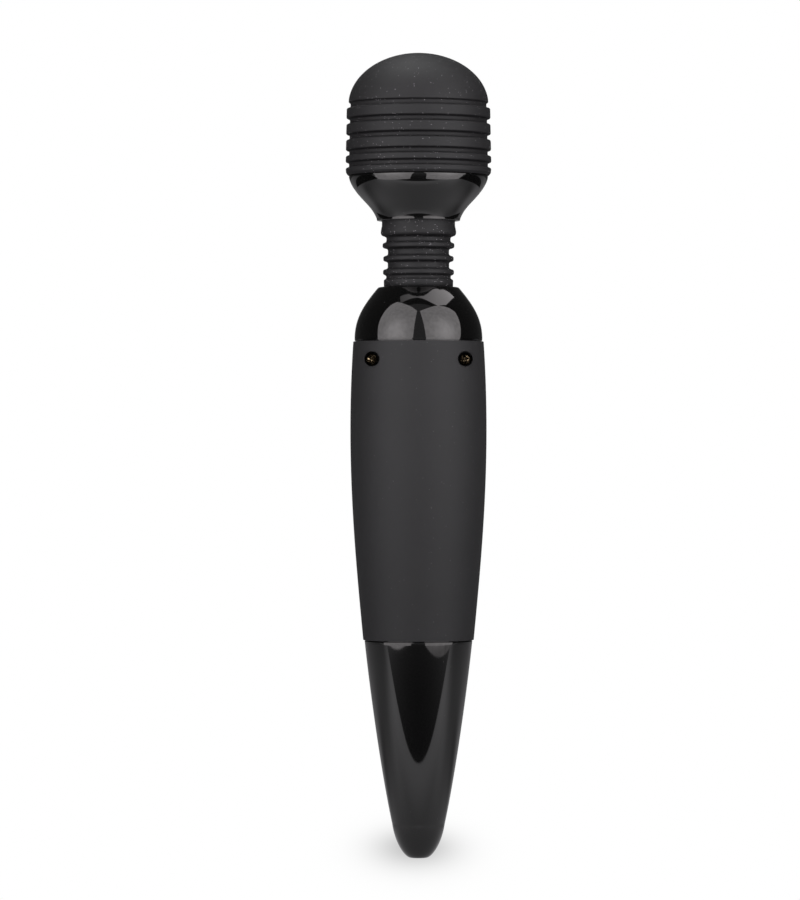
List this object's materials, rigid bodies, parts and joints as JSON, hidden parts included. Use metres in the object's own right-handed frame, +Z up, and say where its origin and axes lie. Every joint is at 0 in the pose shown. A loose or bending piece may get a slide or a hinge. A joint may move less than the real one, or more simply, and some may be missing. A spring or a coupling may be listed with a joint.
{
  "type": "handheld wand massager",
  "caption": "Cordless wand massager: ribbed domed silicone head on a flexible bellows neck, glossy shoulder and cup, soft-touch barrel grip and a long glossy cone tail.",
  "frame": {"origin": "centre of the tail's flat end face, on the wand's axis", "axes": "+Z up the wand's axis from the tail to the head; -Y is the front, where the buttons are; the two shell screws are on the back, +Y"},
  "size_m": [0.049, 0.049, 0.27],
  "materials": {
    "soft_touch": "matte",
    "silicone": "matte",
    "gloss_black": "gloss",
    "button_rubber": "matte",
    "inner_plastic": "satin",
    "switch_stem": "satin",
    "damper_rubber": "matte",
    "battery_foam": "matte",
    "bright_steel": "satin",
    "bronzed_screw": "satin",
    "magnet": "matte",
    "wound_core": "satin",
    "circuit_board": "satin",
    "chip": "matte",
    "cell_wrap": "gloss",
    "red_lead": "satin",
    "black_lead": "satin",
    "clear_lens": "gloss"
  },
  "bodies": {
    "handle": {"shoulder_collar": "gloss_black", "grip_back_shell": "soft_touch", "grip_front_shell": "soft_touch", "tail_cone": "gloss_black", "shell_screw_left": "bronzed_screw", "shell_screw_right": "bronzed_screw", "chassis": "inner_plastic", "battery_cell": "cell_wrap", "battery_pad": "battery_foam", "battery_lead_red": "red_lead", "battery_lead_black": "black_lead", "charge_jack": "bright_steel", "jack_retainer": "inner_plastic", "charge_lead_red": "red_lead", "charge_lead_black": "black_lead", "neck_base_plug": "inner_plastic", "base_plug_screw_1": "bright_steel", "base_plug_screw_2": "bright_steel", "base_plug_screw_3": "bright_steel", "control_board": "circuit_board", "board_screw_1": "bright_steel", "board_screw_2": "bright_steel", "controller_chip": "chip", "control_panel": "gloss_black", "speed_up_switch_case": "inner_plastic", "power_switch_case": "inner_plastic", "speed_down_switch_case": "inner_plastic", "status_led": "clear_lens", "light_pipe": "clear_lens"},
    "neck_low": {"neck_spring": "bright_steel"},
    "neck_mid": {"neck_bellows": "silicone"},
    "neck_high": {"motor_lead_red": "red_lead", "motor_lead_black": "black_lead"},
    "head": {"head_cap": "silicone", "head_core_dome": "inner_plastic", "head_cup": "gloss_black", "motor_can": "bright_steel", "motor_end_bell": "inner_plastic", "field_magnet_left": "magnet", "field_magnet_right": "magnet", "motor_damper": "damper_rubber", "motor_cradle": "inner_plastic", "motor_retainer": "inner_plastic", "cradle_screw_1": "bright_steel", "cradle_screw_2": "bright_steel", "cradle_screw_3": "bright_steel", "neck_top_plug": "inner_plastic", "top_plug_screw_1": "bright_steel", "top_plug_screw_2": "bright_steel", "top_plug_screw_3": "bright_steel"},
    "rotor": {"motor_shaft": "bright_steel", "rotor_core": "wound_core", "eccentric_weight": "bright_steel"},
    "speed_up_button": {"speed_up_button": "button_rubber", "speed_up_switch_plunger": "switch_stem"},
    "power_button": {"power_button": "button_rubber", "power_switch_plunger": "switch_stem"},
    "speed_down_button": {"speed_down_button": "button_rubber", "speed_down_switch_plunger": "switch_stem"}
  },
  "joints": [
    {"name": "neck_nod_low", "type": "hinge", "parent": "handle", "child": "neck_low", "pos_m": [0, 0, 0.1953], "axis": [1, 0, 0], "range_deg": [-10, 10], "stiffness_Nm_per_rad": 1.5, "deforming": ["neck_spring", "neck_bellows", "motor_lead_red", "motor_lead_black"]},
    {"name": "neck_sway_low", "type": "hinge", "parent": "neck_low", "child": "neck_mid", "pos_m": [0, 0, 0.20095], "axis": [0, 1, 0], "range_deg": [-10, 10], "stiffness_Nm_per_rad": 1.5},
    {"name": "neck_nod_high", "type": "hinge", "parent": "neck_mid", "child": "neck_high", "pos_m": [0, 0, 0.2052], "axis": [1, 0, 0], "range_deg": [-10, 10], "stiffness_Nm_per_rad": 1.5},
    {"name": "neck_sway_high", "type": "hinge", "parent": "neck_high", "child": "head", "pos_m": [0, 0, 0.2105], "axis": [0, 1, 0], "range_deg": [-10, 10], "stiffness_Nm_per_rad": 1.5},
    {"name": "rotor_spin", "type": "hinge", "parent": "head", "child": "rotor", "pos_m": [0, 0, 0.2578], "axis": [0, 0, 1], "continuous": true},
    {"name": "speed_up_press", "type": "slide", "parent": "handle", "child": "speed_up_button", "axis": [0, 1, 0], "range_m": [0, 0.0006], "stiffness_N_per_m": 400},
    {"name": "power_press", "type": "slide", "parent": "handle", "child": "power_button", "axis": [0, 1, 0], "range_m": [0, 0.0006], "stiffness_N_per_m": 400},
    {"name": "speed_down_press", "type": "slide", "parent": "handle", "child": "speed_down_button", "axis": [0, 1, 0], "range_m": [0, 0.0006], "stiffness_N_per_m": 400}
  ],
  "couplings": [
    {"joint": "neck_nod_high", "follows": "neck_nod_low", "ratio": 1},
    {"joint": "neck_sway_high", "follows": "neck_sway_low", "ratio": 1}
  ]
}
